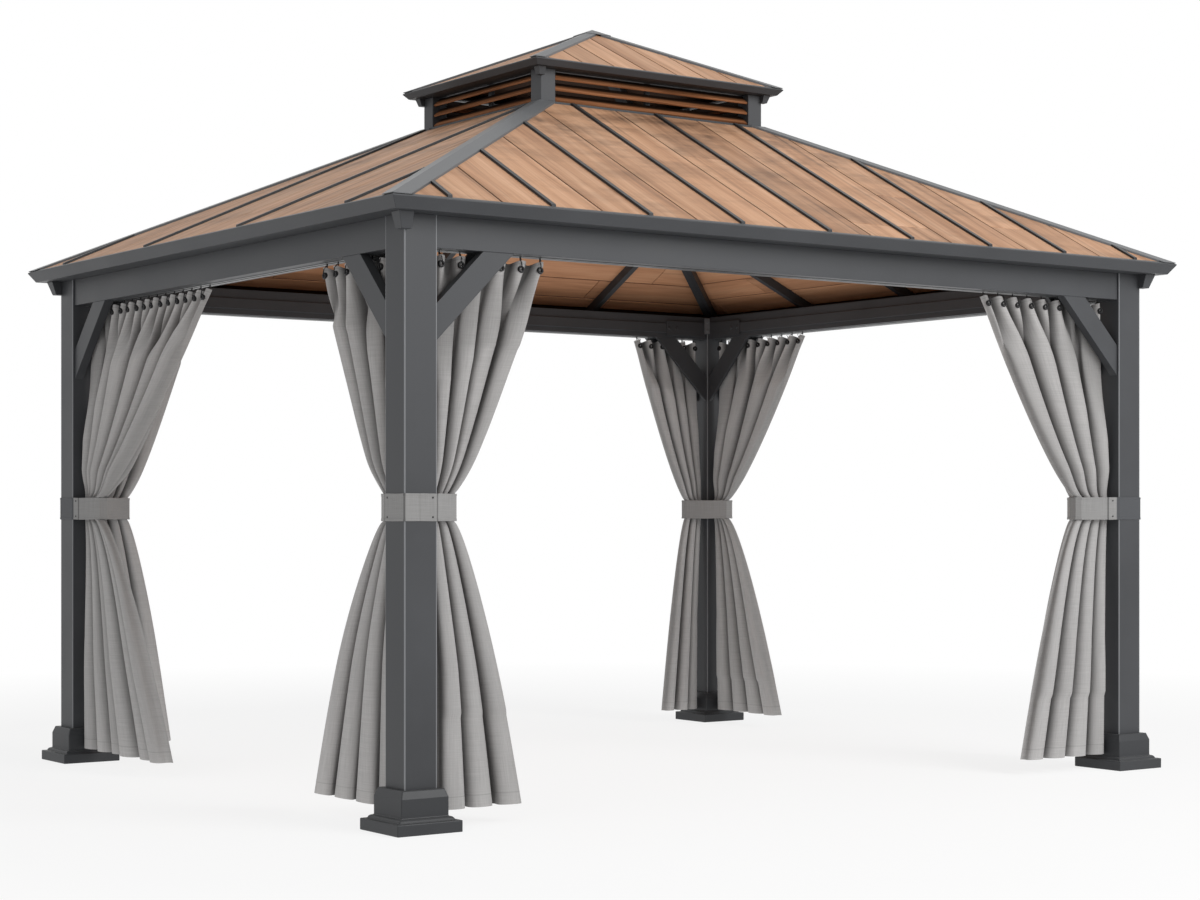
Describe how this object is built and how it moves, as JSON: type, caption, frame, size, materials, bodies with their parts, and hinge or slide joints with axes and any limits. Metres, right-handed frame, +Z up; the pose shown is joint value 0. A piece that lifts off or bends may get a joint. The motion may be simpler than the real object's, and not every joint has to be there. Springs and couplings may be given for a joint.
{
  "type": "hardtop gazebo",
  "caption": "Rectangular hardtop gazebo: square posts on stepped bases, knee braces, hipped plank-look roof with a louvred vent turret, curtains tied back at the posts.",
  "frame": {"origin": "on the ground, at the middle of the plan", "axes": "+X along the long side, +Y from the front to the back, +Z up"},
  "size_m": [3.6, 2.972, 2.972],
  "materials": {
    "frame_paint": "satin anthracite powder coat",
    "cap_paint": "satin grey powder coat",
    "seam_paint": "satin near-black powder coat",
    "plank_print": "wood-grain print on steel sheet, matt",
    "louvre_print": "darker wood-grain print, matt",
    "curtain_fabric": "warm grey woven polyester",
    "strap_fabric": "light grey webbing",
    "track_metal": "grey coated extrusion",
    "hook_metal": "black"
  },
  "bodies": {
    "root": {"post_front_left": "frame_paint", "base_front_left": "frame_paint", "braces_front_left": "frame_paint", "post_front_right": "frame_paint", "base_front_right": "frame_paint", "braces_front_right": "frame_paint", "post_back_left": "frame_paint", "base_back_left": "frame_paint", "braces_back_left": "frame_paint", "post_back_right": "frame_paint", "base_back_right": "frame_paint", "braces_back_right": "frame_paint", "beam_front": "frame_paint", "fascia_front": "frame_paint", "roof_front": "plank_print", "vent_roof_front": "plank_print", "beam_back": "frame_paint", "fascia_back": "frame_paint", "roof_back": "plank_print", "vent_roof_back": "plank_print", "beam_left": "frame_paint", "fascia_left": "frame_paint", "roof_left": "plank_print", "vent_roof_left": "plank_print", "beam_right": "frame_paint", "fascia_right": "frame_paint", "roof_right": "plank_print", "vent_roof_right": "plank_print", "post_corbels": "frame_paint", "beam_plates": "frame_paint", "rafters": "frame_paint", "hip_rafters": "frame_paint", "vent_posts": "frame_paint", "vent_mullions": "frame_paint", "vent_corbels": "frame_paint", "vent_fascia": "frame_paint", "vent_hip_rafters": "frame_paint", "hip_caps": "cap_paint", "vent_hip_caps": "cap_paint", "apex_cap": "cap_paint", "corner_brackets": "cap_paint", "roof_seams": "seam_paint", "vent_curb": "seam_paint", "vent_louvres": "louvre_print", "curtain_tracks": "track_metal", "curtain_hooks": "hook_metal", "curtain_front_left": "curtain_fabric", "curtain_front_right": "curtain_fabric", "curtain_back_left": "curtain_fabric", "curtain_back_right": "curtain_fabric", "curtain_left_front": "curtain_fabric", "curtain_left_back": "curtain_fabric", "curtain_right_front": "curtain_fabric", "curtain_right_back": "curtain_fabric", "curtain_ties": "strap_fabric"}
  },
  "joints": []
}
